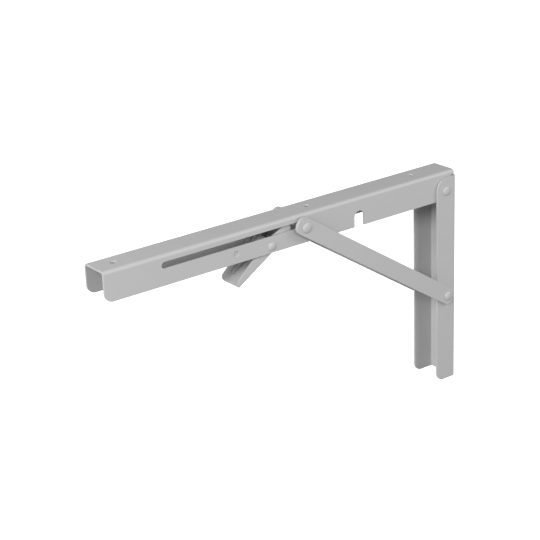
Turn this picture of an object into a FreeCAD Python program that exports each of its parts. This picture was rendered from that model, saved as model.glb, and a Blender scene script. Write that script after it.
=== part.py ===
import FreeCAD, Part
import math
import os
import Sketcher

# Folding shelf bracket, open position. Millimetres.
# Origin: on the wall face, at the height of the hinge, in the middle of the width.
# +X runs into the wall, so the shelf arm reaches along -X. +Z is up. -Y is the near side.

doc = FreeCAD.newDocument("FoldingShelfBracket")
sheet = doc.addObject("Spreadsheet::Sheet", "sizes")

SIZES = {
    # folded steel sheet
    "gauge": 1.5,
    "bend_outside": 2.5,
    "nest_gap": 0.3,
    # wall channel
    "wall_width": 26.0,
    "wall_flange": 18.5,
    "wall_above_hinge": 10.4,
    "wall_below_hinge": 149.4,
    "ear_corner": 9.3,
    "foot_corner": 6.5,
    "wall_screw": 5.0,
    "wall_screw_upper": 28.0,
    "wall_screw_middle": 56.0,
    "wall_screw_lower": 134.0,
    # shelf channel
    "arm_reach": 300.0,
    "arm_depth": 21.45,
    "arm_above_hinge": 14.4,
    "arm_back_gap": 0.7,
    "arm_end_corner": 6.5,
    "arm_web_gap": 1.7,
    "arm_lip_gap": 0.6,
    "shelf_screw": 4.6,
    "shelf_screw_inner": 32.7,
    "shelf_screw_middle": 129.1,
    "shelf_screw_from_end": 14.4,
    # hinge and strut
    "hinge_inset": 9.6,
    "foot_drop": 81.4,
    "strut_width": 12.6,
    "strut_gauge": 2.0,
    "strut_gap": 0.3,
    "strut_corner": 4.7,
    "strut_foot_end": 5.5,
    "strut_pin_end": 5.3,
    "strut_rivet_back": 3.2,
    # slot in the arm and the pin that slides in it
    "slot_lift": 6.9,
    "slot_height": 4.6,
    "pin_reach": 133.7,
    "slot_reach": 246.8,
    "slot_play": 0.2,
    "notch_width": 8.6,
    # rivets and pins
    "rivet_shank": 4.8,
    "rivet_head": 7.0,
    "rivet_dome": 1.3,
    "rivet_round": 1.1,
    "top_rivet_head": 7.8,
    "lever_rivet_head": 6.4,
    "inner_head": 1.0,
    "slide_shank": 4.0,
    "running_gap": 0.05,
    "open_pivot_gap": 0.1,
    "spacer_width": 7.2,
    "slide_spacer_width": 7.6,
    "spacer_end_gap": 0.12,
    # release lever
    "lever_reach": 158.4,
    "lever_drop": 2.5,
    "lever_angle": 31.8,
    "lever_gauge": 1.2,
    "lever_bend": 1.4,
    "lever_tail": 35.0,
    "lever_nose": 18.5,
    "lever_web_start": 8.4,
    "lever_web_offset": 5.8,
    "lever_nose_offset": 5.0,
    "lever_flange": 10.3,
    "lever_tail_flange": 4.3,
    "lever_tail_corner": 2.8,
    "lever_side_gap": 0.3,
    "lever_pin_gap": 0.35,
    "lever_shank": 4.4,
    # torsion spring round the lever pin
    "wire": 1.1,
    "coil_middle": 6.8,
    "coil_pitch": 1.3,
    "coil_turns": 3.0,
    "coil_side": 5.2,
    "spring_leg": 24.0,
    "hook_bend": 2.2,
    "spring_hole_out": 10.2,
    "spring_hole_up": 4.9,
    # pressed stop for the lever
    "dimple_reach": 187.9,
    "dimple_drop": 0.3,
    "dimple_width": 4.4,
    "dimple_depth": 0.8,
}

for row, (alias, value) in enumerate(SIZES.items(), start=1):
    sheet.set("A%d" % row, alias)
    sheet.set("B%d" % row, str(value))
    sheet.setAlias("B%d" % row, alias)
doc.recompute()


def size(alias):
    """The value of one cell, in millimetres or degrees."""
    return float(sheet.get(alias))


# Dimensions that follow from the driving ones, as expressions on the sheet.
WALL_HALF = "sizes.wall_width / 2"
EAR_INSIDE = "(sizes.wall_width / 2 - sizes.gauge)"
ARM_HALF = "(sizes.wall_width / 2 - sizes.gauge - sizes.nest_gap)"
ARM_INSIDE = "(sizes.wall_width / 2 - 2 * sizes.gauge - sizes.nest_gap)"
BAR_INSIDE = "(sizes.wall_width / 2 + sizes.strut_gap)"
BAR_OUTSIDE = "(sizes.wall_width / 2 + sizes.strut_gap + sizes.strut_gauge)"
ARM_BELOW = "(sizes.arm_depth - sizes.arm_above_hinge)"
BEND_INSIDE = "(sizes.bend_outside - sizes.gauge)"
LEVER_HALF = "(%s - sizes.lever_side_gap)" % ARM_INSIDE
LEVER_INSIDE = "(%s - sizes.lever_side_gap - sizes.lever_gauge)" % ARM_INSIDE
HINGE_X = "(-sizes.hinge_inset)"
FOOT_Z = "(-sizes.foot_drop)"
PIN_X = "(-sizes.hinge_inset - sizes.pin_reach)"
LEVER_X = "(-sizes.hinge_inset - sizes.lever_reach)"
LEVER_Z = "(-sizes.lever_drop)"
STRUT_RISE = "(sizes.foot_drop + sizes.slot_lift)"
STRUT_LENGTH = "sqrt(sizes.pin_reach ^ 2 + %s ^ 2)" % STRUT_RISE
STRUT_ANGLE = "atan(%s / sizes.pin_reach)" % STRUT_RISE
# The strut's upper rivet heads lie on the bar's middle line, a little below the sliding pin.
RIVET_SHARE = "(1 - sizes.strut_rivet_back / %s)" % STRUT_LENGTH
RIVET_X = "(-sizes.hinge_inset - sizes.pin_reach * %s)" % RIVET_SHARE
RIVET_Z = "(%s * %s - sizes.foot_drop)" % (STRUT_RISE, RIVET_SHARE)
NOTCH_X = "(-sizes.hinge_inset - sizes.foot_drop)"
DIMPLE_X = "(-sizes.hinge_inset - sizes.dimple_reach)"
# Depths of cuts that go right through.
ACROSS = "2 * sizes.wall_width"
THROUGH_WEB = "4 * sizes.gauge"
BEYOND_LEVER = "2 * sizes.lever_tail"

# How closely a direction, a length and a volume must agree when shapes are tested.
DIRECTION_TOLERANCE = 1e-6
LENGTH_TOLERANCE = 0.01
VOLUME_TOLERANCE = 0.01

scratch = doc.addObject("App::FeaturePython", "worked_out")


def worked_out(expression):
    """The number that an expression on the sheet gives now."""
    return float(scratch.evalExpression(expression))


def body(name):
    """A new part body whose label names its file."""
    new = doc.addObject("PartDesign::Body", name)
    new.Label = name
    return new


def plane(owner, role):
    """One of a body's own origin planes, such as XZ_Plane."""
    for feature in owner.Origin.OriginFeatures:
        if feature.Role == role:
            return feature
    raise ValueError(role)


def new_sketch(owner, name, role, offset=None):
    """A sketch on an origin plane, moved along the plane's normal by an expression."""
    sketch = owner.newObject("Sketcher::SketchObject", name)
    sketch.AttachmentSupport = [(plane(owner, role), "")]
    sketch.MapMode = "FlatFace"
    if offset is not None:
        sketch.setExpression("AttachmentOffset.Base.z", offset)
    return sketch


def hold(sketch, kind, geometry, point, expression):
    """Ties one coordinate or radius of a sketch to the sheet."""
    value = worked_out(expression)
    if kind == "Radius":
        index = sketch.addConstraint(Sketcher.Constraint(kind, geometry, abs(value)))
    else:
        index = sketch.addConstraint(Sketcher.Constraint(kind, geometry, point, value))
    sketch.setExpression("Constraints[%d]" % index, expression)


def polygon(sketch, corners):
    """A closed outline of straight lines whose corners are pairs of expressions."""
    points = [FreeCAD.Vector(worked_out(x), worked_out(y), 0) for x, y in corners]
    count = len(points)
    lines = [sketch.addGeometry(Part.LineSegment(points[i], points[(i + 1) % count]), False)
             for i in range(count)]
    for i, line in enumerate(lines):
        sketch.addConstraint(Sketcher.Constraint("Coincident", line, 2, lines[(i + 1) % count], 1))
    for line, (x, y) in zip(lines, corners):
        hold(sketch, "DistanceX", line, 1, x)
        hold(sketch, "DistanceY", line, 1, y)


def circle(sketch, x, y, radius):
    """A circle whose centre and radius are expressions."""
    centre = FreeCAD.Vector(worked_out(x), worked_out(y), 0)
    normal = FreeCAD.Vector(0, 0, 1)
    index = sketch.addGeometry(Part.Circle(centre, normal, worked_out(radius)), False)
    hold(sketch, "DistanceX", index, 3, x)
    hold(sketch, "DistanceY", index, 3, y)
    hold(sketch, "Radius", index, 0, radius)


def rounded_bar(sketch, x_low, x_high, y, radius):
    """A level slot outline: two half circles joined by two lines."""
    low, high = worked_out(x_low), worked_out(x_high)
    middle, round_radius = worked_out(y), worked_out(radius)
    normal = FreeCAD.Vector(0, 0, 1)
    left_circle = Part.Circle(FreeCAD.Vector(low, middle, 0), normal, round_radius)
    right_circle = Part.Circle(FreeCAD.Vector(high, middle, 0), normal, round_radius)
    left = sketch.addGeometry(Part.ArcOfCircle(left_circle, math.pi / 2, 3 * math.pi / 2), False)
    right = sketch.addGeometry(Part.ArcOfCircle(right_circle, -math.pi / 2, math.pi / 2), False)
    bottom = sketch.addGeometry(Part.LineSegment(FreeCAD.Vector(low, middle - round_radius, 0),
                                                 FreeCAD.Vector(high, middle - round_radius, 0)), False)
    top = sketch.addGeometry(Part.LineSegment(FreeCAD.Vector(high, middle + round_radius, 0),
                                              FreeCAD.Vector(low, middle + round_radius, 0)), False)
    sketch.addConstraint(Sketcher.Constraint("Tangent", left, 2, bottom, 1))
    sketch.addConstraint(Sketcher.Constraint("Tangent", bottom, 2, right, 1))
    sketch.addConstraint(Sketcher.Constraint("Tangent", right, 2, top, 1))
    sketch.addConstraint(Sketcher.Constraint("Tangent", top, 2, left, 1))
    hold(sketch, "DistanceX", left, 3, x_low)
    hold(sketch, "DistanceY", left, 3, y)
    hold(sketch, "DistanceX", right, 3, x_high)
    sketch.addConstraint(Sketcher.Constraint("Horizontal", bottom))
    hold(sketch, "Radius", left, 0, radius)


def pad(owner, name, sketch, length, both_ways=False, reverse=False):
    """Material grown from a sketch."""
    feature = owner.newObject("PartDesign::Pad", name)
    feature.Profile = sketch
    feature.setExpression("Length", length)
    feature.Midplane = both_ways
    feature.Reversed = reverse
    doc.recompute()
    return feature


def pocket(owner, name, sketch, depth, both_ways=False, reverse=False):
    """Material cut away by a sketch, with a test that the cut met the solid."""
    before = owner.Shape.Volume
    feature = owner.newObject("PartDesign::Pocket", name)
    feature.Profile = sketch
    feature.setExpression("Length", depth)
    feature.Midplane = both_ways
    feature.Reversed = reverse
    doc.recompute()
    if not owner.Shape.Volume < before:
        raise RuntimeError("%s cuts nothing" % name)
    return feature


def round_edges(owner, name, radius, chosen):
    """A fillet on the edges of the body's tip whose middle passes the test."""
    base = owner.Tip
    names = ["Edge%d" % (i + 1) for i, edge in enumerate(base.Shape.Edges) if chosen(edge)]
    if not names:
        raise RuntimeError("%s finds no edge" % name)
    feature = owner.newObject("PartDesign::Fillet", name)
    feature.Base = (base, names)
    feature.setExpression("Radius", radius)
    doc.recompute()
    return feature


def middle(edge):
    """The middle point of an edge."""
    return edge.valueAt((edge.FirstParameter + edge.LastParameter) / 2)


def runs_along(edge, axis):
    """Whether a straight edge runs along X (0), Y (1) or Z (2)."""
    if not isinstance(edge.Curve, Part.Line):
        return False
    return abs(abs(edge.Curve.Direction[axis]) - 1) < DIRECTION_TOLERANCE


def near(value, target):
    """Whether two lengths agree to a hundredth of a millimetre."""
    return abs(value - target) < LENGTH_TOLERANCE


def place(owner, x, y, z):
    """Puts a body at a point given by expressions."""
    owner.setExpression("Placement.Base.x", x)
    owner.setExpression("Placement.Base.y", y)
    owner.setExpression("Placement.Base.z", z)


def turn_down(owner, angle):
    """Turns a body about its cross axis so that its -X side goes down by an angle."""
    owner.Placement.Rotation = FreeCAD.Rotation(FreeCAD.Vector(0, -1, 0), worked_out(angle))
    owner.setExpression("Placement.Rotation.Angle", angle)


def make_wall_channel():
    """U channel on the wall: web at the back, two flanges forward, two ears at the top."""
    part = body("wall_channel")
    front = "-sizes.wall_flange"
    section = new_sketch(part, "wall_section", "XY_Plane", "-sizes.wall_below_hinge")
    polygon(section, [("0", "-" + WALL_HALF), ("0", WALL_HALF), (front, WALL_HALF),
                      (front, EAR_INSIDE), ("-sizes.gauge", EAR_INSIDE),
                      ("-sizes.gauge", "-" + EAR_INSIDE), (front, "-" + EAR_INSIDE),
                      (front, "-" + WALL_HALF)])
    pad(part, "wall_sheet", section, "sizes.wall_below_hinge + sizes.wall_above_hinge")
    half = worked_out(WALL_HALF)
    inside = worked_out(EAR_INSIDE)
    round_edges(part, "wall_outer_bends", "sizes.bend_outside",
                lambda e: runs_along(e, 2) and near(middle(e).x, 0) and near(abs(middle(e).y), half))
    round_edges(part, "wall_inner_bends", BEND_INSIDE,
                lambda e: (runs_along(e, 2) and near(middle(e).x, -size("gauge"))
                           and near(abs(middle(e).y), inside)))
    ear_top = size("wall_above_hinge")
    front_x = -size("wall_flange")
    foot = -size("wall_below_hinge")
    round_edges(part, "ear_front_corners", "sizes.ear_corner",
                lambda e: runs_along(e, 1) and near(middle(e).x, front_x) and near(middle(e).z, ear_top))
    round_edges(part, "foot_corners", "sizes.foot_corner",
                lambda e: runs_along(e, 1) and near(middle(e).x, front_x) and near(middle(e).z, foot))
    pivots = new_sketch(part, "pivot_holes", "XZ_Plane")
    circle(pivots, HINGE_X, "0", "sizes.rivet_shank / 2 + sizes.running_gap")
    circle(pivots, HINGE_X, FOOT_Z, "sizes.rivet_shank / 2 + sizes.running_gap")
    pocket(part, "pivot_bores", pivots, ACROSS, both_ways=True)
    screws = new_sketch(part, "wall_screw_holes", "YZ_Plane")
    for drop in ("upper", "middle", "lower"):
        circle(screws, "0", "-sizes.wall_screw_%s" % drop, "sizes.wall_screw / 2")
    pocket(part, "wall_screw_bores", screws, THROUGH_WEB, both_ways=True)
    return part


def make_shelf_channel():
    """Inverted U channel under the shelf, with its slots, notches, pivots and lever stops."""
    part = body("shelf_channel")
    top = "sizes.arm_above_hinge"
    under_top = "(sizes.arm_above_hinge - sizes.gauge)"
    edge = "-" + ARM_BELOW
    section = new_sketch(part, "arm_section", "YZ_Plane", "-sizes.arm_reach")
    polygon(section, [("-" + ARM_HALF, edge), ("-" + ARM_INSIDE, edge), ("-" + ARM_INSIDE, under_top),
                      (ARM_INSIDE, under_top), (ARM_INSIDE, edge), (ARM_HALF, edge),
                      (ARM_HALF, top), ("-" + ARM_HALF, top)])
    pad(part, "arm_sheet", section, "sizes.arm_reach - sizes.arm_back_gap")
    half = worked_out(ARM_HALF)
    inside = worked_out(ARM_INSIDE)
    arm_top = size("arm_above_hinge")
    low = -worked_out(ARM_BELOW)
    round_edges(part, "arm_outer_bends", "sizes.bend_outside",
                lambda e: runs_along(e, 0) and near(middle(e).z, arm_top) and near(abs(middle(e).y), half))
    round_edges(part, "arm_inner_bends", BEND_INSIDE,
                lambda e: (runs_along(e, 0) and near(abs(middle(e).y), inside)
                           and near(middle(e).z, arm_top - size("gauge"))))
    # Behind the hinge only the top reaches over the web of the wall channel.
    back = new_sketch(part, "arm_back_outline", "XZ_Plane")
    wall_end = "(-sizes.gauge - sizes.arm_web_gap)"
    lip_under = "(sizes.wall_above_hinge + sizes.arm_lip_gap)"
    polygon(back, [(wall_end, lip_under), (wall_end, edge + " - sizes.gauge"),
                   ("sizes.gauge", edge + " - sizes.gauge"), ("sizes.gauge", lip_under)])
    pocket(part, "arm_back_cut", back, ACROSS, both_ways=True)
    cut_x = worked_out(wall_end)
    round_edges(part, "arm_back_corners", ARM_BELOW,
                lambda e: runs_along(e, 1) and near(middle(e).z, low) and near(middle(e).x, cut_x))
    round_edges(part, "arm_end_corners", "sizes.arm_end_corner",
                lambda e: (runs_along(e, 1) and near(middle(e).z, low)
                           and near(middle(e).x, -size("arm_reach"))))
    slot = new_sketch(part, "slot_outline", "XZ_Plane")
    rounded_bar(slot, "-sizes.hinge_inset - sizes.slot_reach + sizes.slot_height / 2",
                "%s + sizes.slot_play" % PIN_X, "sizes.slot_lift", "sizes.slot_height / 2")
    pocket(part, "slide_slots", slot, ACROSS, both_ways=True)
    notch_round = new_sketch(part, "notch_round", "XZ_Plane")
    circle(notch_round, NOTCH_X, "0", "sizes.notch_width / 2")
    pocket(part, "notch_rounds", notch_round, ACROSS, both_ways=True)
    notch_mouth = new_sketch(part, "notch_mouth", "XZ_Plane")
    left = "(%s - sizes.notch_width / 2)" % NOTCH_X
    right = "(%s + sizes.notch_width / 2)" % NOTCH_X
    below = "(%s - sizes.gauge)" % edge
    polygon(notch_mouth, [(left, "0"), (left, below), (right, below), (right, "0")])
    pocket(part, "notch_mouths", notch_mouth, ACROSS, both_ways=True)
    pivots = new_sketch(part, "arm_pivot_holes", "XZ_Plane")
    circle(pivots, HINGE_X, "0", "sizes.rivet_shank / 2 + sizes.running_gap")
    circle(pivots, LEVER_X, LEVER_Z, "sizes.lever_shank / 2 + sizes.running_gap")
    pocket(part, "arm_pivot_bores", pivots, ACROSS, both_ways=True)
    hook = new_sketch(part, "spring_hook_hole", "XZ_Plane")
    circle(hook, "%s - sizes.spring_hole_out" % LEVER_X, "%s + sizes.spring_hole_up" % LEVER_Z,
           "sizes.wire / 2 + sizes.slot_play")
    pocket(part, "spring_hook_bore", hook, "sizes.wall_width")
    screws = new_sketch(part, "shelf_screw_holes", "XY_Plane")
    for screw_x in ("-sizes.shelf_screw_inner", "-sizes.shelf_screw_middle",
                    "sizes.shelf_screw_from_end - sizes.arm_reach"):
        circle(screws, screw_x, "0", "sizes.shelf_screw / 2")
    pocket(part, "shelf_screw_bores", screws, "sizes.arm_above_hinge + sizes.gauge", reverse=True)
    press_in(part, "near", towards_far=True)
    press_in(part, "far", towards_far=False)
    return part


def press_in(part, side, towards_far):
    """One round stop, half pierced through the side wall towards the inside."""
    flip = "" if towards_far else "-"
    hollow = new_sketch(part, "stop_hollow_%s" % side, "XZ_Plane", flip + ARM_HALF)
    circle(hollow, DIMPLE_X, "-sizes.dimple_drop", "sizes.dimple_width / 2")
    pocket(part, "stop_hollows_%s" % side, hollow, "sizes.dimple_depth", reverse=not towards_far)
    boss = new_sketch(part, "stop_boss_%s" % side, "XZ_Plane", flip + ARM_INSIDE)
    circle(boss, DIMPLE_X, "-sizes.dimple_drop", "sizes.dimple_width / 2 - sizes.slot_play")
    pad(part, "stop_bosses_%s" % side, boss, "sizes.dimple_depth", reverse=towards_far)


def make_strut_bar(name, side):
    """Flat bar with rounded corners from the strut foot up to the sliding pin."""
    part = body(name)
    start = BAR_OUTSIDE if side < 0 else "-" + BAR_INSIDE
    outline = new_sketch(part, name + "_outline", "XZ_Plane", start)
    half = "(sizes.strut_width / 2)"
    upper = "(-%s - sizes.strut_pin_end)" % STRUT_LENGTH
    foot = "sizes.strut_foot_end"
    polygon(outline, [(upper, "-" + half), (foot, "-" + half), (foot, half), (upper, half)])
    pad(part, name + "_sheet", outline, "sizes.strut_gauge", reverse=True)
    round_edges(part, name + "_corners", "sizes.strut_corner", lambda e: runs_along(e, 1))
    holes = new_sketch(part, name + "_holes", "XZ_Plane")
    circle(holes, "0", "0", "sizes.rivet_shank / 2 + sizes.running_gap")
    circle(holes, "sizes.strut_rivet_back - " + STRUT_LENGTH, "0", "sizes.slide_shank / 2")
    pocket(part, name + "_bores", holes, ACROSS, both_ways=True)
    place(part, HINGE_X, "0", FOOT_Z)
    turn_down(part, "-" + STRUT_ANGLE)
    return part


def turned(name, rings, x, z):
    """A turned piece about a cross axis; rings are (radius, distance along +Y) expressions."""
    part = body(name)
    outline = new_sketch(part, name + "_half", "XY_Plane")
    polygon(outline, rings)
    spun = part.newObject("PartDesign::Revolution", name + "_turned")
    spun.Profile = outline
    spun.ReferenceAxis = (outline, ["V_Axis"])
    spun.Angle = 360
    place(part, x, "0", z)
    doc.recompute()
    return part


def dome(part, name, head_face, head="rivet_head"):
    """Rounds the rim of a rivet head at a distance from the middle."""
    face = worked_out(head_face)
    round_edges(part, name, "sizes.rivet_round",
                lambda e: (isinstance(e.Curve, Part.Circle) and near(abs(e.Curve.Center.y), abs(face))
                           and near(e.Curve.Radius, size(head) / 2)))


def make_hinge_rivet(name, sign):
    """Short rivet through one ear and the arm wall inside it."""
    shank = "sizes.rivet_shank / 2"
    head = "sizes.rivet_head / 2"
    outer = "%s(%s + sizes.rivet_dome)" % (sign, WALL_HALF)
    ear = "%s(%s)" % (sign, WALL_HALF)
    wall = "%s(%s)" % (sign, ARM_INSIDE)
    inner = "%s(%s - sizes.inner_head)" % (sign, ARM_INSIDE)
    part = turned(name, [("0", outer), (head, outer), (head, ear), (shank, ear), (shank, wall),
                         (head, wall), (head, inner), ("0", inner)], HINGE_X, "0")
    dome(part, name + "_dome", outer)
    return part


def make_foot_pin():
    """Long rivet across both strut bars and both flanges of the wall channel."""
    shank = "sizes.rivet_shank / 2"
    head = "sizes.rivet_head / 2"
    face = "(%s + sizes.rivet_dome)" % BAR_OUTSIDE
    part = turned("strut_foot_pin", [("0", "-" + face), (head, "-" + face), (head, "-" + BAR_OUTSIDE),
                                     (shank, "-" + BAR_OUTSIDE), (shank, BAR_OUTSIDE),
                                     (head, BAR_OUTSIDE), (head, face), ("0", face)],
                  HINGE_X, FOOT_Z)
    dome(part, "strut_foot_domes", face)
    return part


def make_sleeve(name, inside, outside, low, high, x, z):
    """Tube round a pin, from one distance along the cross axis to another."""
    return turned(name, [(inside, low), (outside, low), (outside, high), (inside, high)], x, z)


def make_top_rivet(name, sign):
    """Head and stub of the rivet at the upper end of one strut bar."""
    shank = "sizes.slide_shank / 2"
    head = "sizes.top_rivet_head / 2"
    face = "%s(%s + sizes.rivet_dome)" % (sign, BAR_OUTSIDE)
    bar = "%s(%s)" % (sign, BAR_OUTSIDE)
    end = "%s(%s)" % (sign, BAR_INSIDE)
    part = turned(name, [("0", face), (head, face), (head, bar), (shank, bar), (shank, end),
                         ("0", end)], RIVET_X, RIVET_Z)
    dome(part, name + "_dome", face, "top_rivet_head")
    return part


def make_slide_pin():
    """Straight pin that runs in both slots, between the strut bars."""
    end = "(%s - sizes.open_pivot_gap)" % BAR_INSIDE
    shank = "sizes.slide_shank / 2"
    return turned("slide_pin", [("0", "-" + end), (shank, "-" + end), (shank, end), ("0", end)],
                  PIN_X, "sizes.slot_lift")


def make_lever():
    """Folded lever inside the arm: nose towards the pin, tail below the arm as the grip."""
    part = body("release_lever")
    outline = new_sketch(part, "lever_side", "XZ_Plane")
    web = "-sizes.lever_web_offset"
    free_edge = "(sizes.lever_flange - sizes.lever_web_offset)"
    tail_edge = "(sizes.lever_tail_flange - sizes.lever_web_offset)"
    # The nose is cut level, just under the underside of the sliding pin, when the lever is at rest.
    level = "(sizes.slot_lift + sizes.lever_drop - sizes.slide_shank / 2 - sizes.lever_pin_gap)"
    nose_x = "sizes.lever_nose"
    slope_tan = "tan(sizes.lever_angle * 1 deg)"
    slope_cos = "cos(sizes.lever_angle * 1 deg)"
    flank_x = "((%s / %s - %s) / %s)" % (level, slope_cos, free_edge, slope_tan)
    nose_top = "(%s / %s - %s * %s)" % (level, slope_cos, nose_x, slope_tan)
    nose_low = "-sizes.lever_nose_offset"
    nose_start = "(sizes.lever_web_start + sizes.lever_web_offset - sizes.lever_nose_offset)"
    polygon(outline, [("-sizes.lever_tail", web), ("sizes.lever_web_start", web),
                      (nose_start, nose_low), (nose_x, nose_low), (nose_x, nose_top),
                      (flank_x, free_edge),
                      ("-sizes.lever_shank", free_edge), ("-sizes.lever_tail", tail_edge)])
    pad(part, "lever_block", outline, "2 * %s" % LEVER_HALF, both_ways=True)
    half = worked_out(LEVER_HALF)
    web_z = -size("lever_web_offset")
    round_edges(part, "lever_bends", "sizes.lever_bend",
                lambda e: (runs_along(e, 0) and near(middle(e).z, web_z)
                           and near(abs(middle(e).y), half)))
    hollow = new_sketch(part, "lever_hollow_section", "XZ_Plane")
    inner_web = "(sizes.lever_gauge - sizes.lever_web_offset)"
    deep = "(sizes.lever_web_offset + sizes.lever_flange)"
    polygon(hollow, [("-" + BEYOND_LEVER, inner_web), ("sizes.lever_web_start", inner_web),
                     ("sizes.lever_web_start", "-" + deep), (BEYOND_LEVER, "-" + deep),
                     (BEYOND_LEVER, deep), ("-" + BEYOND_LEVER, deep)])
    pocket(part, "lever_hollow", hollow, "2 * %s" % LEVER_INSIDE, both_ways=True)
    tail_x = -size("lever_tail")
    round_edges(part, "lever_tail_corners", "sizes.lever_tail_corner",
                lambda e: (runs_along(e, 1) and near(middle(e).x, tail_x)
                           and near(middle(e).z, worked_out(tail_edge))))
    pivot = new_sketch(part, "lever_pivot_holes", "XZ_Plane")
    circle(pivot, "0", "0", "sizes.lever_shank / 2 + sizes.running_gap")
    pocket(part, "lever_pivot_bores", pivot, ACROSS, both_ways=True)
    place(part, LEVER_X, "0", LEVER_Z)
    turn_down(part, "sizes.lever_angle")
    return part


def make_lever_pin():
    """Rivet across the arm that carries the lever and its spring."""
    shank = "sizes.lever_shank / 2"
    head = "sizes.lever_rivet_head / 2"
    face = "(%s + sizes.rivet_dome)" % ARM_HALF
    part = turned("lever_pin", [("0", "-" + face), (head, "-" + face), (head, "-" + ARM_HALF),
                                (shank, "-" + ARM_HALF), (shank, ARM_HALF), (head, ARM_HALF),
                                (head, face), ("0", face)], LEVER_X, LEVER_Z)
    dome(part, "lever_pin_domes", face, "lever_rivet_head")
    return part


def bent_wire(first, corner, last, radius):
    """A straight run, an arc that turns the corner, and a second straight run."""
    arriving = (corner - first).normalize()
    leaving = (last - corner).normalize()
    turn = arriving.getAngle(leaving)
    cut_back = radius * math.tan(turn / 2)
    begin = corner - arriving * cut_back
    end = corner + leaving * cut_back
    inward = (leaving - arriving).normalize()
    centre = corner + inward * (radius / math.cos(turn / 2))
    arc = Part.Arc(begin, centre - inward * radius, end).toShape()
    return [Part.makeLine(first, begin), arc, Part.makeLine(end, last)]


def make_spring():
    """Torsion spring: a coil round the lever pin, one leg on the lever, one hooked in the arm."""
    radius = size("wire") / 2
    coil = size("coil_middle") / 2
    pitch = size("coil_pitch")
    leg = size("spring_leg")
    angle = math.radians(size("lever_angle"))
    web = size("lever_web_offset") - size("lever_gauge") - radius - size("running_gap")
    lean = math.asin((web - coil) / leg)
    # The first leg lies along the lever's web and leans on it at its tip.
    arriving = FreeCAD.Vector(math.cos(angle + lean), 0, math.sin(angle + lean))
    starts = math.atan2(-arriving.x, arriving.z)
    hole = FreeCAD.Vector(-size("spring_hole_out"), 0, size("spring_hole_up"))
    # The coil ends where a line to the hook's hole leaves it without a kink.
    leaves = math.atan2(hole.z, hole.x) - math.acos(coil / hole.Length)
    part_turn = ((leaves - starts) / (2 * math.pi)) % 1
    length = pitch * (size("coil_turns") + part_turn)
    middle_point = FreeCAD.Vector(0, 0, 0)
    helix = Part.makeHelix(pitch, length, coil, 0, True)
    # The helix starts on its own +X axis and climbs; it is laid along +Y and turned.
    helix.rotate(middle_point, FreeCAD.Vector(1, 0, 0), -90)
    helix.rotate(middle_point, FreeCAD.Vector(0, 1, 0), -math.degrees(starts))
    helix.translate(FreeCAD.Vector(0, size("coil_side") - length / 2, 0))
    turns = Part.Wire(helix.Edges).OrderedEdges
    begin = turns[0].valueAt(turns[0].FirstParameter)
    first_way = turns[0].tangentAt(turns[0].FirstParameter)
    end = turns[-1].valueAt(turns[-1].LastParameter)
    last_way = turns[-1].tangentAt(turns[-1].LastParameter)
    tip = begin - first_way * leg
    corner = end + last_way * ((hole.x - end.x) / last_way.x)
    hooked = FreeCAD.Vector(corner.x, worked_out(ARM_HALF) + radius, corner.z)
    hook = bent_wire(end, corner, hooked, size("hook_bend"))
    spine = Part.Wire([Part.makeLine(tip, begin)] + turns + hook)
    section = Part.Wire(Part.makeCircle(radius, tip, first_way))
    feature = doc.addObject("Part::Feature", "lever_spring")
    feature.Label = "lever_spring"
    feature.Shape = spine.makePipeShell([section], True, True)
    feature.Placement = FreeCAD.Placement(
        FreeCAD.Vector(worked_out(LEVER_X), 0, worked_out(LEVER_Z)), FreeCAD.Rotation())
    wanted = spine.Length * math.pi * radius ** 2
    if abs(feature.Shape.Volume / wanted - 1) > VOLUME_TOLERANCE:
        raise RuntimeError("the spring's wire has lost its section")
    return feature


def make_all():
    """Every piece of the bracket, in the order of assembly."""
    sleeve_gap = "sizes.spacer_end_gap"
    pieces = [make_wall_channel(), make_shelf_channel(),
              make_strut_bar("strut_bar_near", -1), make_strut_bar("strut_bar_far", 1),
              make_hinge_rivet("hinge_rivet_near", "-"), make_hinge_rivet("hinge_rivet_far", ""),
              make_foot_pin()]
    ear = "(%s - %s)" % (EAR_INSIDE, sleeve_gap)
    pieces.append(make_sleeve("strut_foot_spacer", "sizes.rivet_shank / 2 + sizes.running_gap",
                              "sizes.spacer_width / 2", "-" + ear, ear, HINGE_X, FOOT_Z))
    pieces.append(make_slide_pin())
    low = "(%s + %s)" % (ARM_HALF, sleeve_gap)
    high = "(%s - %s)" % (BAR_INSIDE, sleeve_gap)
    for name, sign in (("slide_spacer_near", "-"), ("slide_spacer_far", "")):
        pieces.append(make_sleeve(name, "sizes.slide_shank / 2 + sizes.running_gap",
                                  "sizes.slide_spacer_width / 2", sign + low, sign + high,
                                  PIN_X, "sizes.slot_lift"))
    pieces.append(make_top_rivet("strut_top_rivet_near", "-"))
    pieces.append(make_top_rivet("strut_top_rivet_far", ""))
    pieces.append(make_lever())
    pieces.append(make_lever_pin())
    pieces.append(make_spring())
    return pieces


def check_and_write(pieces):
    """Stops on any failed object, then writes one file for each piece."""
    for item in doc.Objects:
        if "Invalid" in item.State or "Error" in item.State:
            raise RuntimeError("%s is in state %s" % (item.Label, item.State))
    os.makedirs("parts", exist_ok=True)
    for piece in pieces:
        shape = piece.Shape
        if shape.isNull() or not shape.isValid() or not shape.Solids:
            raise RuntimeError("%s has no valid solid" % piece.Label)
        box = shape.BoundBox
        print("%s: %d solid, %.1f mm3, x %.2f..%.2f y %.2f..%.2f z %.2f..%.2f" % (
            piece.Label, len(shape.Solids), shape.Volume, box.XMin, box.XMax, box.YMin, box.YMax,
            box.ZMin, box.ZMax))
        shape.exportStep(os.path.join("parts", piece.Label + ".step"))


doc.recompute()
made = make_all()
doc.recompute()
check_and_write(made)
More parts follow.
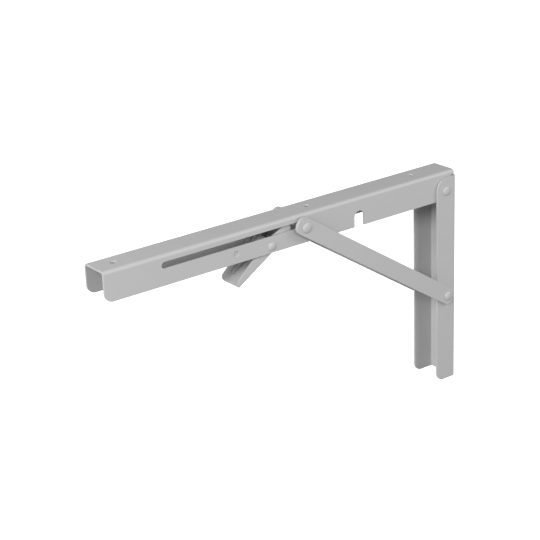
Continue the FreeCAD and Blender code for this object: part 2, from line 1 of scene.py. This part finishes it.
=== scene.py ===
"""Folding shelf bracket of coated steel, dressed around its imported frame.

Metres, in the frame of the CAD part: the origin is on the wall face at the height of the
hinge, +X runs into the wall, so the arm reaches along -X, +Z is up and -Y is the near side.
"""

from __future__ import annotations

import logging
import math
from dataclasses import dataclass, field
from enum import Enum
from functools import cached_property
from typing import Any

import bmesh
import bpy
from mathutils import Matrix, Vector
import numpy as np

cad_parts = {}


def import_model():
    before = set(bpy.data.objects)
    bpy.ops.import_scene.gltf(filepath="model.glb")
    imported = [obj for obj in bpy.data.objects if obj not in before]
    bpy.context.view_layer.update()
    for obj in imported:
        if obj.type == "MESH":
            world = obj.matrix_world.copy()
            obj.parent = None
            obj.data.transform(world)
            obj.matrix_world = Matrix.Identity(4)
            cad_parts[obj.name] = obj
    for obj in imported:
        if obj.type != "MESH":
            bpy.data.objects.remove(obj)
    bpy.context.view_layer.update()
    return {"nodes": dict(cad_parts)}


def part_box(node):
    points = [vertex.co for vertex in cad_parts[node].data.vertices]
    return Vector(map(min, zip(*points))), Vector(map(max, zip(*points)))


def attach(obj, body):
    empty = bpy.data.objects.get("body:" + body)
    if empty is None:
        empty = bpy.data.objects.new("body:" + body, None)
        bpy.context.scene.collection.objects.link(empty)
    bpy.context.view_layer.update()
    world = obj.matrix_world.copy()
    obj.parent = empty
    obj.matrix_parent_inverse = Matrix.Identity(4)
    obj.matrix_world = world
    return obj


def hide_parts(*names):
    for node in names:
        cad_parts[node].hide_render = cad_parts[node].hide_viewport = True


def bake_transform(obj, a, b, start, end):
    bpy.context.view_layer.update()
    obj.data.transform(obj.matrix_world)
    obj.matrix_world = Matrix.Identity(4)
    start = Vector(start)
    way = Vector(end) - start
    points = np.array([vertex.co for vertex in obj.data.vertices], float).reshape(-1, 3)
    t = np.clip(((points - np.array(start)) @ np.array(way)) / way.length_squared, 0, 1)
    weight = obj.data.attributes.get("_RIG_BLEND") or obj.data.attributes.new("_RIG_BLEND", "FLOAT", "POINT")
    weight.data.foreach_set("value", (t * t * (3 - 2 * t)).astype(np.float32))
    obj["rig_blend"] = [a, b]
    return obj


LOG = logging.getLogger("folding_shelf_bracket")
MM = 0.001

Rgb = tuple[float, float, float]
Point = tuple[float, float, float]

LEVER_AXIS: Point = (-168.0 * MM, 0.0, -2.5 * MM)
WHITE = (1.0, 1.0, 1.0, 1.0)


def settle(made: bmesh.types.BMesh) -> None:
    """Sorts a mesh by place, because an extrusion leaves another order on every run.

    Args:
        made: the mesh, which is laid down anew in its own shape.
    """
    for items, place in ((made.verts, lambda vert: vert.co[:]),
                         (made.edges, lambda edge: sorted(vert.index for vert in edge.verts)),
                         (made.faces, lambda face: sorted(vert.index for vert in face.verts))):
        ranks = {item: rank for rank, item in enumerate(sorted(items, key=place))}
        items.sort(key=ranks.get)
        items.index_update()
    sorted_mesh = bpy.data.meshes.new("sorted_mesh")
    made.to_mesh(sorted_mesh)
    for edge in sorted_mesh.edges:
        edge.vertices = sorted(edge.vertices)
    made.clear()
    made.from_mesh(sorted_mesh)
    bpy.data.meshes.remove(sorted_mesh)


class Slot(Enum):
    """The record's material slots."""

    COATED = "coated_steel"
    RIVET = "rivet_steel"
    SPRING = "spring_steel"


class Body(Enum):
    """The frame's bodies that pieces ride on."""

    WALL = "wall"
    ARM = "arm"
    STRUT = "strut"
    LEVER = "lever"


class Value:
    """An output socket of a node, which joins others by ordinary arithmetic."""

    def __init__(self, bench: Bench, socket: bpy.types.NodeSocket | None) -> None:
        """Wraps one output socket.

        Args:
            bench: the tree that the socket belongs to.
            socket: the output socket, or None for the node that ends a tree.
        """
        self.bench = bench
        self.socket = socket

    def _math(self, operation: str, first: Term, second: Term) -> Value:
        """Adds one Math node and returns its output."""
        return self.bench.node("ShaderNodeMath", {"operation": operation}, {0: first, 1: second})

    def __add__(self, other: Term) -> Value:
        """self + other."""
        return self._math("ADD", self, other)

    def __radd__(self, other: Term) -> Value:
        """other + self."""
        return self._math("ADD", other, self)

    def __sub__(self, other: Term) -> Value:
        """self - other."""
        return self._math("SUBTRACT", self, other)

    def __rsub__(self, other: Term) -> Value:
        """other - self."""
        return self._math("SUBTRACT", other, self)

    def __mul__(self, other: Term) -> Value:
        """self * other."""
        return self._math("MULTIPLY", self, other)

    def __rmul__(self, other: Term) -> Value:
        """other * self."""
        return self._math("MULTIPLY", other, self)


Term = Value | float


class Bench:
    """A tree of nodes under construction: every node is made and wired here."""

    def __init__(self, owner: bpy.types.Material | bpy.types.World) -> None:
        """Starts with an empty tree.

        Args:
            owner: the material or the world that the tree belongs to.
        """
        self.owner = owner
        owner.use_nodes = True
        self.tree = owner.node_tree
        self.tree.nodes.clear()

    @cached_property
    def places(self) -> Value:
        """The object's own coordinates, from one node."""
        return self.node("ShaderNodeTexCoord", {}, {}, "Object")

    def node(self, kind: str, settings: dict[str, Any], inputs: dict[int | str, Any],
             output: int | str = 0) -> Value:
        """Makes a node, its settings first, then its sockets.

        Args:
            kind: the node's type.
            settings: the node's own properties, such as a Math node's operation.
            inputs: a value or a link for each socket, by name or number.
            output: the socket to hand back, by name or number.

        Returns:
            The chosen output, which is empty for the node that ends a tree.
        """
        made = self.tree.nodes.new(kind)
        for name, setting in settings.items():
            setattr(made, name, setting)
        for name, given in inputs.items():
            if isinstance(given, Value):
                self.tree.links.new(given.socket, made.inputs[name])
            else:
                made.inputs[name].default_value = given
        return Value(self, made.outputs[output] if made.outputs else None)

    def noise(self, per_metre: float, detail: float = 2.0, roughness: float = 0.5,
              stretch: Point = (1.0, 1.0, 1.0)) -> Value:
        """Smooth noise on the object's own coordinates, 0 to 1.

        Args:
            per_metre: how many cells fit in a metre.
            detail: how many finer octaves are added.
            roughness: how strong the finer octaves are.
            stretch: a factor on each axis.

        Returns:
            The noise's value.
        """
        laid = self.node("ShaderNodeMapping", {}, {"Vector": self.places, "Scale": stretch})
        return self.node("ShaderNodeTexNoise", {}, {"Vector": laid, "Scale": per_metre,
                                                    "Detail": detail, "Roughness": roughness})

    def blend(self, share: Term, first: Any, second: Any) -> Value:
        """A colour between two colours.

        Args:
            share: 0 for the first colour and 1 for the second.
            first: a colour or a link.
            second: a colour or a link.

        Returns:
            The mixed colour.
        """
        pair = [given if isinstance(given, Value) else (*given, 1.0) for given in (first, second)]
        return self.node("ShaderNodeMix", {"data_type": "RGBA"},
                         {0: share, 6: pair[0], 7: pair[1]}, 2)

    def bump(self, height: Value, depth: float) -> Value:
        """A normal from a height.

        Args:
            height: the height, 0 to 1.
            depth: how deep a height of 1 is, in metres.

        Returns:
            The bent normal.
        """
        return self.node("ShaderNodeBump", {}, {"Height": height, "Distance": depth,
                                                "Strength": 1.0})

    def finish(self, **sockets: Any) -> bpy.types.Material:
        """Closes the material with one Principled shader.

        Args:
            sockets: the shader's sockets, with underscores for spaces.

        Returns:
            The finished material.
        """
        given = {name.replace("_", " "): value for name, value in sockets.items()}
        shader = self.node("ShaderNodeBsdfPrincipled", {}, given)
        self.node("ShaderNodeOutputMaterial", {}, {"Surface": shader})
        return self.owner


@dataclass(frozen=True)
class CoatedSteel:
    """Silver-grey powder coat: satin, with a fine grain and faint cloudiness."""

    name: str = "silver_coat"
    colour: Rgb = (0.54, 0.54, 0.54)
    cloud_colour: Rgb = (0.464, 0.464, 0.468)
    clouds_per_metre: float = 45.0
    grains_per_metre: float = 1500.0
    grain_share: float = 0.55
    roughness: float = 0.58
    cloud_roughness: float = 0.10
    grain_roughness: float = 0.06
    peels_per_metre: float = 1400.0
    peel_depth: float = 0.035 * MM
    metallic: float = 0.1
    specular: float = 0.3

    def make(self) -> bpy.types.Material:
        """Builds the coat from broad clouds, a fine grain and a shallow peel.

        Returns:
            The finished material.
        """
        bench = Bench(bpy.data.materials.new(self.name))
        clouds = bench.noise(self.clouds_per_metre, detail=3.0, roughness=0.55)
        peel = bench.noise(self.peels_per_metre)
        grain = bench.noise(self.grains_per_metre, roughness=0.6)
        share = clouds * (1.0 - self.grain_share) + grain * self.grain_share
        rough = (self.roughness + (clouds - 0.5) * self.cloud_roughness
                 + (grain - 0.5) * self.grain_roughness)
        return bench.finish(Base_Color=bench.blend(share, self.colour, self.cloud_colour),
                            Roughness=rough, Metallic=self.metallic,
                            Specular_IOR_Level=self.specular,
                            Normal=bench.bump(peel, self.peel_depth))


@dataclass(frozen=True)
class SpringSteel:
    """Bright drawn spring wire: smoother than the coat, with fine draw lines."""

    name: str = "drawn_wire"
    colour: Rgb = (0.56, 0.56, 0.565)
    worn_colour: Rgb = (0.44, 0.44, 0.44)
    lines_per_metre: float = 2600.0
    line_stretch: Point = (1.0, 0.2, 1.0)
    line_depth: float = 0.004 * MM
    roughness: float = 0.32
    line_roughness: float = 0.12
    metallic: float = 0.5

    def make(self) -> bpy.types.Material:
        """Builds the wire's finish from its draw lines.

        Returns:
            The finished material.
        """
        bench = Bench(bpy.data.materials.new(self.name))
        lines = bench.noise(self.lines_per_metre, stretch=self.line_stretch)
        rough = self.roughness + (lines - 0.5) * self.line_roughness
        return bench.finish(Base_Color=bench.blend(lines, self.colour, self.worn_colour),
                            Roughness=rough, Metallic=self.metallic,
                            Normal=bench.bump(lines, self.line_depth))


@dataclass
class Workshop:
    """Where a piece gets its finish, its body and the CAD node that it stands for."""

    nodes: dict[str, bpy.types.Object]
    finishes: dict[Slot, bpy.types.Material]
    same_point: float = 0.03 * MM
    short_edge: float = 0.10 * MM
    flat_angle: float = math.radians(0.3)
    crease_angle: float = math.radians(28.0)
    area_weight: int = 50

    def copy_of(self, node: str) -> bmesh.types.BMesh:
        """Copies a CAD node, merges its points and makes its flat faces whole.

        Args:
            node: the node's name.

        Returns:
            A closed mesh with its faces outward.
        """
        made = bmesh.new()
        made.from_mesh(self.nodes[node].data)
        bmesh.ops.remove_doubles(made, verts=made.verts, dist=self.same_point)
        self.flatten(made)
        return made

    def flatten(self, made: bmesh.types.BMesh) -> None:
        """Dissolves the edges between faces that lie in one plane."""
        bmesh.ops.dissolve_limit(made, angle_limit=self.flat_angle, verts=made.verts,
                                 edges=made.edges)

    def soften(self, made: bmesh.types.BMesh, width: float) -> None:
        """Rounds every crease a little, as blanking and a coat leave it.

        Args:
            made: the mesh.
            width: how far the rounding reaches from the crease.
        """
        bmesh.ops.dissolve_degenerate(made, dist=self.short_edge, edges=made.edges)
        creases = [edge for edge in made.edges if edge.is_manifold
                   and edge.calc_face_angle() > self.crease_angle]
        bmesh.ops.bevel(made, geom=creases, offset=width, offset_type="OFFSET", segments=2,
                        profile=0.5, affect="EDGES", clamp_overlap=False, material=-1)

    def deliver(self, made: bmesh.types.BMesh, name: str, slot: Slot, node: str | None,
                body: Body | None) -> bpy.types.Object:
        """Turns a mesh into a finished piece.

        Args:
            made: the mesh, which is freed.
            name: the piece's name.
            slot: the record's slot of its finish.
            node: the CAD node that it stands for, if any.
            body: the body that it rides on, or None for a piece that bends between two.

        Returns:
            The piece.
        """
        for face in made.faces:
            face.smooth = True
        for edge in made.edges:
            edge.smooth = True
        mesh = bpy.data.meshes.new(name)
        made.to_mesh(mesh)
        made.free()
        for attribute in [a for a in mesh.attributes if a.name == "custom_normal"]:
            mesh.attributes.remove(attribute)
        mesh.materials.clear()
        mesh.materials.append(self.finishes[slot])
        piece = bpy.data.objects.new(name, mesh)
        bpy.context.scene.collection.objects.link(piece)
        even = piece.modifiers.new("flat_faces_stay_flat", "WEIGHTED_NORMAL")
        even.mode = "FACE_AREA"
        even.weight = self.area_weight
        if node is not None:
            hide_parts(node)
        if body is not None:
            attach(piece, body.value)
        LOG.info("%s: %d faces, %s", name, len(mesh.polygons), slot.value)
        return piece

    def dress(self, node: str, slot: Slot) -> None:
        """Gives a CAD node its finish and leaves its shape alone.

        Args:
            node: the node's name.
            slot: the record's slot of its finish.
        """
        kept = self.nodes[node].data.materials
        kept.clear()
        kept.append(self.finishes[slot])
        LOG.info("%s: kept, %s", node, slot.value)


@dataclass
class PressedSheet:
    """A blanked and folded sheet with softly rounded edges."""

    node: str
    body: Body
    edge_width: float = 0.18 * MM

    def shape(self, shop: Workshop) -> bmesh.types.BMesh:
        """The sheet's mesh before its edges are softened."""
        return shop.copy_of(self.node)

    def build(self, shop: Workshop) -> None:
        """Makes the piece.

        Args:
            shop: where the piece gets its finish and its body.
        """
        made = self.shape(shop)
        shop.soften(made, self.edge_width)
        shop.deliver(made, self.node + "_sheet", Slot.COATED, self.node, self.body)


@dataclass
class ReleaseLever(PressedSheet):
    """The folded lever, with the full height of the nose that holds the sliding pin.

    Its own axis runs from the tail up to the nose, through the lever's rivet.
    """

    node: str = "release_lever"
    body: Body = Body.LEVER
    slope: float = math.radians(31.8)
    flank_foot_shift: Point = (0.4 * MM, 0.0, 0.0)
    flank_top_shift: Point = (8.2 * MM, 0.0, 3.85 * MM)
    end_top_shift: Point = (0.1 * MM, 0.0, 3.85 * MM)
    same_way: float = 0.99
    same_level: float = 0.05 * MM
    web_middle: float = 1.0 * MM
    step_length: float = 0.5 * MM
    step_lift: float = 0.9 * MM
    floor_length: float = 8.9 * MM

    def shape(self, shop: Workshop) -> bmesh.types.BMesh:
        """Raises both cheeks to a nose and carries the web on between them.

        Args:
            shop: where the lever's mesh comes from.

        Returns:
            The mesh before its edges are softened.
        """
        made = shop.copy_of(self.node)
        self._raise_nose(made)
        self._lengthen_web(made)
        settle(made)
        shop.flatten(made)
        return made

    def _raise_nose(self, made: bmesh.types.BMesh) -> None:
        """Grows the level top of both cheeks up into the slot's height.

        Args:
            made: the lever's mesh.
        """
        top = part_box(self.node)[1][2]
        level = [face for face in made.faces if face.normal.z > self.same_way
                 and abs(face.calc_center_median().z - top) < self.same_level]
        middle = sum(face.calc_center_median().x for face in level) / len(level)
        feet = {vert for face in level for vert in face.verts if vert.co.x < middle}
        raised = self._grow(made, level)
        flank = [vert for vert in raised if vert.co.x < middle]
        ends = [vert for vert in raised if vert.co.x > middle]
        bmesh.ops.translate(made, vec=self.flank_foot_shift,
                            verts=[vert for vert in feet if vert.is_valid])
        bmesh.ops.translate(made, vec=self.flank_top_shift, verts=flank)
        bmesh.ops.translate(made, vec=self.end_top_shift, verts=ends)

    def _lengthen_web(self, made: bmesh.types.BMesh) -> None:
        """Carries the web's front edge on over a small step to the end of the nose.

        Args:
            made: the lever's mesh.
        """
        along = Vector((math.cos(self.slope), 0.0, math.sin(self.slope)))
        across = Vector((-math.sin(self.slope), 0.0, math.cos(self.slope)))
        for way in (along * self.step_length + across * self.step_lift,
                    along * self.floor_length):
            edge = [face for face in made.faces if face.normal.dot(along) > self.same_way
                    and abs(face.calc_center_median().y) < self.web_middle]
            bmesh.ops.translate(made, vec=way, verts=self._grow(made, edge))
            made.normal_update()

    @staticmethod
    def _grow(made: bmesh.types.BMesh, faces: list[bmesh.types.BMFace]) -> list[bmesh.types.BMVert]:
        """Extrudes faces of a closed mesh and takes the old faces out of its inside.

        Args:
            made: the mesh.
            faces: the faces to extrude.

        Returns:
            The points of the new faces, still in their old places.
        """
        grown = bmesh.ops.extrude_face_region(made, geom=faces)["geom"]
        left = [face for face in faces if face.is_valid]
        bmesh.ops.delete(made, geom=left, context="FACES_ONLY")
        return [item for item in grown if isinstance(item, bmesh.types.BMVert)]


@dataclass
class Lathe:
    """Turns a rivet on its own axis: Z runs out of the head, and the rim goes down step by step."""

    segments: int = 48
    rings: int = 24
    rim_slack: float = 0.01
    same_point: float = 0.001 * MM
    made: bmesh.types.BMesh = field(default_factory=bmesh.new)
    rim: list[bmesh.types.BMVert] = field(default_factory=list)

    def dome(self, radius: float, height: float, level: float = 0.0) -> None:
        """Adds a low dome whose rim lies at a level; a negative height points it down.

        Args:
            radius: the rim's radius.
            height: how far the dome rises over its rim.
            level: the rim's place on the axis.
        """
        place = Matrix.Translation((0.0, 0.0, level)) @ Matrix.Diagonal(
            (radius, radius, abs(height), 1.0))
        ball = bmesh.ops.create_uvsphere(self.made, u_segments=self.segments,
                                         v_segments=self.rings, radius=1.0, matrix=place)["verts"]
        away = [vert for vert in ball if (vert.co.z - level) / height < -self.rim_slack]
        bmesh.ops.delete(self.made, geom=away, context="VERTS")
        self.rim = [vert for vert in self.made.verts if vert.is_boundary]

    def ring(self, radius: float) -> None:
        """Starts with an open ring at level 0 instead of a dome."""
        bmesh.ops.create_circle(self.made, segments=self.segments, radius=radius)
        self.rim = list(self.made.verts)

    def step(self, radius: float, drop: float) -> None:
        """Carries the rim on to another radius, further down the axis.

        Args:
            radius: the new rim's radius.
            drop: how far down it lies.
        """
        edges = {edge for vert in self.rim for edge in vert.link_edges if len(edge.link_faces) < 2}
        now = math.hypot(self.rim[0].co.x, self.rim[0].co.y)
        grown = bmesh.ops.extrude_edge_only(self.made, edges=list(edges))["geom"]
        self.rim = [item for item in grown if isinstance(item, bmesh.types.BMVert)]
        bmesh.ops.scale(self.made, vec=(radius / now, radius / now, 1.0), verts=self.rim)
        bmesh.ops.translate(self.made, vec=(0.0, 0.0, -drop), verts=self.rim)

    def close(self) -> None:
        """Fills the last rim with a flat face."""
        settle(self.made)
        edges = [edge for edge in self.made.edges if edge.is_boundary]
        bmesh.ops.edgeloop_fill(self.made, edges=edges)

    def lay(self, x: float, y: float, z: float, sign: float) -> bmesh.types.BMesh:
        """Lays the axis across the bracket, with the first head outward.

        Args:
            x: the axis's place.
            y: where level 0 lies.
            z: the axis's height.
            sign: -1 for the near side and 1 for the far side.

        Returns:
            The finished mesh.
        """
        turn = Matrix.Rotation(-sign * math.pi / 2, 4, "X")
        bmesh.ops.transform(self.made, matrix=Matrix.Translation((x, y, z)) @ turn,
                            verts=self.made.verts)
        settle(self.made)
        bmesh.ops.remove_doubles(self.made, verts=self.made.verts, dist=self.same_point)
        bmesh.ops.recalc_face_normals(self.made, faces=self.made.faces)
        return self.made


@dataclass
class FormedRivet:
    """A rivet with domed heads; its place and its length are those of its CAD node."""

    node: str
    body: Body
    head: float = 3.5 * MM
    shank: float = 2.4 * MM
    dome: float = 1.3 * MM

    def place(self) -> tuple[float, float, float, float]:
        """The axis's x and z, and the lowest and highest y of the node."""
        low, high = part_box(self.node)
        return (low[0] + high[0]) / 2, (low[2] + high[2]) / 2, low[1], high[1]

    def turn(self, lathe: Lathe, length: float) -> None:
        """Turns two heads and the shank between them.

        Args:
            lathe: an empty lathe.
            length: the whole length over both heads.
        """
        grip = length - 2 * self.dome
        lathe.dome(self.head, self.dome)
        lathe.step(self.shank, 0.0)
        lathe.step(self.shank, grip)
        lathe.step(self.head, 0.0)
        lathe.dome(self.head, -self.dome, -grip)

    def build(self, shop: Workshop) -> None:
        """Makes the piece.

        Args:
            shop: where the piece gets its finish and its body.
        """
        x, z, low, high = self.place()
        sign = 1.0 if high > 0 else -1.0
        lathe = Lathe()
        self.turn(lathe, high - low)
        face = high - self.dome if sign > 0 else low + self.dome
        made = lathe.lay(x, face, z, sign)
        shop.deliver(made, self.node + "_formed", Slot.RIVET, self.node, self.body)


@dataclass
class HingeRivet(FormedRivet):
    """Short rivet with a flat formed head inside the arm."""

    inner_head: float = 1.0 * MM
    edge_width: float = 0.2 * MM

    def turn(self, lathe: Lathe, length: float) -> None:
        """Turns a dome, the shank and a flat inner head.

        Args:
            lathe: an empty lathe.
            length: the whole length over both heads.
        """
        lathe.dome(self.head, self.dome)
        lathe.step(self.shank, 0.0)
        lathe.step(self.shank, length - self.dome - self.inner_head)
        lathe.step(self.head, 0.0)
        lathe.step(self.head, self.inner_head - self.edge_width)
        lathe.step(self.head - self.edge_width, self.edge_width)
        lathe.close()


@dataclass
class StubRivet(FormedRivet):
    """Domed head and stub at the upper end of a strut bar."""

    head: float = 3.9 * MM
    shank: float = 2.0 * MM

    def turn(self, lathe: Lathe, length: float) -> None:
        """Turns a dome and a stub.

        Args:
            lathe: an empty lathe.
            length: the whole length with the head.
        """
        lathe.dome(self.head, self.dome)
        lathe.step(self.shank, 0.0)
        lathe.step(self.shank, length - self.dome)
        lathe.close()


@dataclass
class TorsionSpring:
    """Spring round the lever's rivet: it winds from the arm's side wall to the lever's web."""

    node: str = "lever_spring"
    hook_side: Point = (LEVER_AXIS[0], 7.4 * MM, LEVER_AXIS[2])
    leg_side: Point = (-169.08 * MM, 3.4 * MM, -3.15 * MM)
    leg_slope: float = math.radians(31.0)
    leg_tip: float = 0.2 * MM
    leg_growth: float = 4.2 * MM
    leg_start: float = 4.0 * MM
    leg_lean: float = 4.2 * MM

    def build(self, shop: Workshop) -> None:
        """Makes the piece and lets its coil wind up as the lever turns.

        Args:
            shop: where the piece gets its finish and its body.
        """
        made = shop.copy_of(self.node)
        down = Vector((-math.cos(self.leg_slope), 0.0, -math.sin(self.leg_slope)))
        lowest = max(vert.co.dot(down) for vert in made.verts)
        tip = [vert for vert in made.verts if vert.co.dot(down) > lowest - self.leg_tip]
        bmesh.ops.translate(made, vec=down * self.leg_growth, verts=tip)
        self._lean(made, down)
        spring = shop.deliver(made, "torsion_spring", Slot.SPRING, self.node, None)
        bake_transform(spring, Body.ARM.value, Body.LEVER.value, start=self.hook_side,
                 end=self.leg_side)

    def _lean(self, made: bmesh.types.BMesh, down: Vector) -> None:
        """Leans the straight leg towards the far cheek, more and more to its end.

        Args:
            made: the spring's mesh.
            down: the leg's direction.
        """
        pivot = Vector(LEVER_AXIS)
        far = max((vert.co - pivot).dot(down) for vert in made.verts)
        for vert in made.verts:
            beyond = (vert.co - pivot).dot(down) - self.leg_start
            if beyond > 0.0:
                vert.co.y += self.leg_lean * beyond / (far - self.leg_start)


@dataclass
class LeverBush:
    """Plain sleeve on the lever's rivet that keeps the spring on the far side."""

    near_end: float = -8.0 * MM
    far_end: float = 2.4 * MM
    outside: float = 4.3 * MM
    inside: float = 2.25 * MM
    edge_width: float = 0.2 * MM

    def build(self, shop: Workshop) -> None:
        """Turns the sleeve from one ring.

        Args:
            shop: where the piece gets its finish and its body.
        """
        lathe = Lathe()
        lathe.ring(self.inside)
        lathe.step(self.outside, 0.0)
        lathe.step(self.outside, self.far_end - self.near_end)
        lathe.step(self.inside, 0.0)
        lathe.step(self.inside, self.near_end - self.far_end)
        made = lathe.lay(LEVER_AXIS[0], self.far_end, LEVER_AXIS[2], 1.0)
        shop.soften(made, self.edge_width)
        shop.deliver(made, "lever_bush", Slot.RIVET, None, Body.ARM)


@dataclass
class PhotographView:
    """The camera of the photograph, fitted to the bracket's own edges."""

    azimuth: float = -36.774
    elevation: float = 21.454
    roll: float = -2.192
    place: Point = (-0.77412, -0.81892, 0.37757)
    lens: float = 107.32
    sensor: float = 36.0
    nearest: float = 0.01
    farthest: float = 20.0

    def build(self) -> None:
        """Makes the camera and gives it to the scene."""
        turn, lift = math.radians(self.azimuth), math.radians(self.elevation)
        back = Vector((math.sin(turn) * math.cos(lift), -math.cos(turn) * math.cos(lift),
                       math.sin(lift)))
        right = Vector((math.cos(turn), math.sin(turn), 0.0))
        basis = Matrix((right, back.cross(right), back)).transposed().to_4x4()
        camera = bpy.data.objects.new("photograph_view", bpy.data.cameras.new("photograph_view"))
        camera.data.lens = self.lens
        camera.data.sensor_width = self.sensor
        camera.data.clip_start = self.nearest
        camera.data.clip_end = self.farthest
        camera.matrix_world = (Matrix.Translation(self.place) @ basis
                               @ Matrix.Rotation(math.radians(self.roll), 4, "Z"))
        bpy.context.scene.collection.objects.link(camera)
        bpy.context.scene.camera = camera


@dataclass
class SoftBox:
    """One rectangular studio lamp that looks at the bracket."""

    name: str
    place: Point
    power: float
    width: float
    target: Point = (-0.15, 0.0, -0.06)

    def build(self) -> None:
        """Makes the lamp."""
        lamp = bpy.data.lights.new(self.name, "AREA")
        lamp.energy = self.power
        lamp.size = self.width
        holder = bpy.data.objects.new(self.name, lamp)
        holder.location = self.place
        holder.rotation_euler = (Vector(self.place) - Vector(self.target)).to_track_quat(
            "Z", "Y").to_euler()
        bpy.context.scene.collection.objects.link(holder)


@dataclass
class Studio:
    """White sweep, soft lamps and the camera."""

    floor_height: float = -0.36
    floor_reach: float = 6.0
    sky_seen: float = 1.0
    sky_light: float = 0.29
    floor_glow: float = 0.75
    paper: Rgb = (0.86, 0.86, 0.86)
    paper_cloud: Rgb = (0.84, 0.84, 0.84)
    paper_clouds: float = 3.0
    paper_roughness: float = 0.9
    lamps: list[SoftBox] = field(default_factory=lambda: [
        SoftBox("key_box", (-1.3, -0.8, 0.75), 13.0, 0.4),
        SoftBox("front_box", (-0.1, -1.5, 0.5), 5.6, 0.45),
        SoftBox("left_box", (-1.9, -0.2, 0.3), 13.5, 0.7),
        SoftBox("near_left_box", (-0.85, -0.35, 0.45), 0.6, 0.4),
        SoftBox("right_box", (1.2, -0.9, 0.7), 10.0, 0.8),
        SoftBox("back_box", (-1.5, 0.8, 0.6), 2.0, 0.7),
        SoftBox("rear_box", (0.3, 1.6, 0.1), 6.0, 0.8),
    ])

    def build(self) -> None:
        """Makes the whole set."""
        self._sky()
        self._floor()
        for lamp in self.lamps:
            lamp.build()
        PhotographView().build()
        scene = bpy.context.scene
        scene.view_settings.view_transform = "Standard"
        scene.view_settings.look = "None"

    def _sky(self) -> None:
        """White surroundings, seen at full white and lighting more softly."""
        bench = Bench(bpy.data.worlds.new("white_sweep"))
        lit, seen = [bench.node("ShaderNodeBackground", {}, {"Color": WHITE, "Strength": strength})
                     for strength in (self.sky_light, self.sky_seen)]
        in_view = bench.node("ShaderNodeLightPath", {}, {}, "Is Camera Ray")
        mix = bench.node("ShaderNodeMixShader", {}, {0: in_view, 1: lit, 2: seen})
        bench.node("ShaderNodeOutputWorld", {}, {"Surface": mix})
        bpy.context.scene.world = bench.owner

    def _floor(self) -> None:
        """A pale floor under the lowest reach of the folded arm."""
        sheet = bmesh.new()
        bmesh.ops.create_grid(sheet, x_segments=1, y_segments=1, size=self.floor_reach)
        bmesh.ops.translate(sheet, vec=(0.0, 0.0, self.floor_height), verts=sheet.verts)
        mesh = bpy.data.meshes.new("studio_floor")
        sheet.to_mesh(mesh)
        sheet.free()
        floor = bpy.data.objects.new("studio_floor", mesh)
        bpy.context.scene.collection.objects.link(floor)
        bench = Bench(bpy.data.materials.new("floor_paper"))
        tone = bench.blend(bench.noise(self.paper_clouds), self.paper, self.paper_cloud)
        mesh.materials.append(bench.finish(Base_Color=tone, Roughness=self.paper_roughness,
                                           Emission_Color=WHITE,
                                           Emission_Strength=self.floor_glow))
        # The sheet shows as white paper, but the bracket is lit by the sky and the lamps alone.
        floor.visible_diffuse = False
        floor.visible_glossy = False


def main() -> None:
    """Builds the dressed bracket and its set."""
    logging.basicConfig(level=logging.INFO, format="%(message)s")
    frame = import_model()
    shop = Workshop(frame["nodes"], {Slot.COATED: CoatedSteel().make(),
                                     Slot.RIVET: CoatedSteel(name="rivet_coat").make(),
                                     Slot.SPRING: SpringSteel().make()})
    sheets = [PressedSheet("wall_channel", Body.WALL), PressedSheet("shelf_channel", Body.ARM),
              PressedSheet("strut_bar_near", Body.STRUT), PressedSheet("strut_bar_far", Body.STRUT),
              ReleaseLever()]
    rivets = [HingeRivet("hinge_rivet_near", Body.WALL), HingeRivet("hinge_rivet_far", Body.WALL),
              FormedRivet("strut_foot_pin", Body.WALL),
              FormedRivet("lever_pin", Body.ARM, head=3.2 * MM, shank=2.2 * MM),
              StubRivet("strut_top_rivet_near", Body.STRUT),
              StubRivet("strut_top_rivet_far", Body.STRUT)]
    for piece in (*sheets, *rivets, LeverBush(), TorsionSpring()):
        piece.build(shop)
    for node in ("slide_pin", "slide_spacer_near", "slide_spacer_far", "strut_foot_spacer"):
        shop.dress(node, Slot.RIVET)
    Studio().build()


if __name__ == "__main__":
    main()
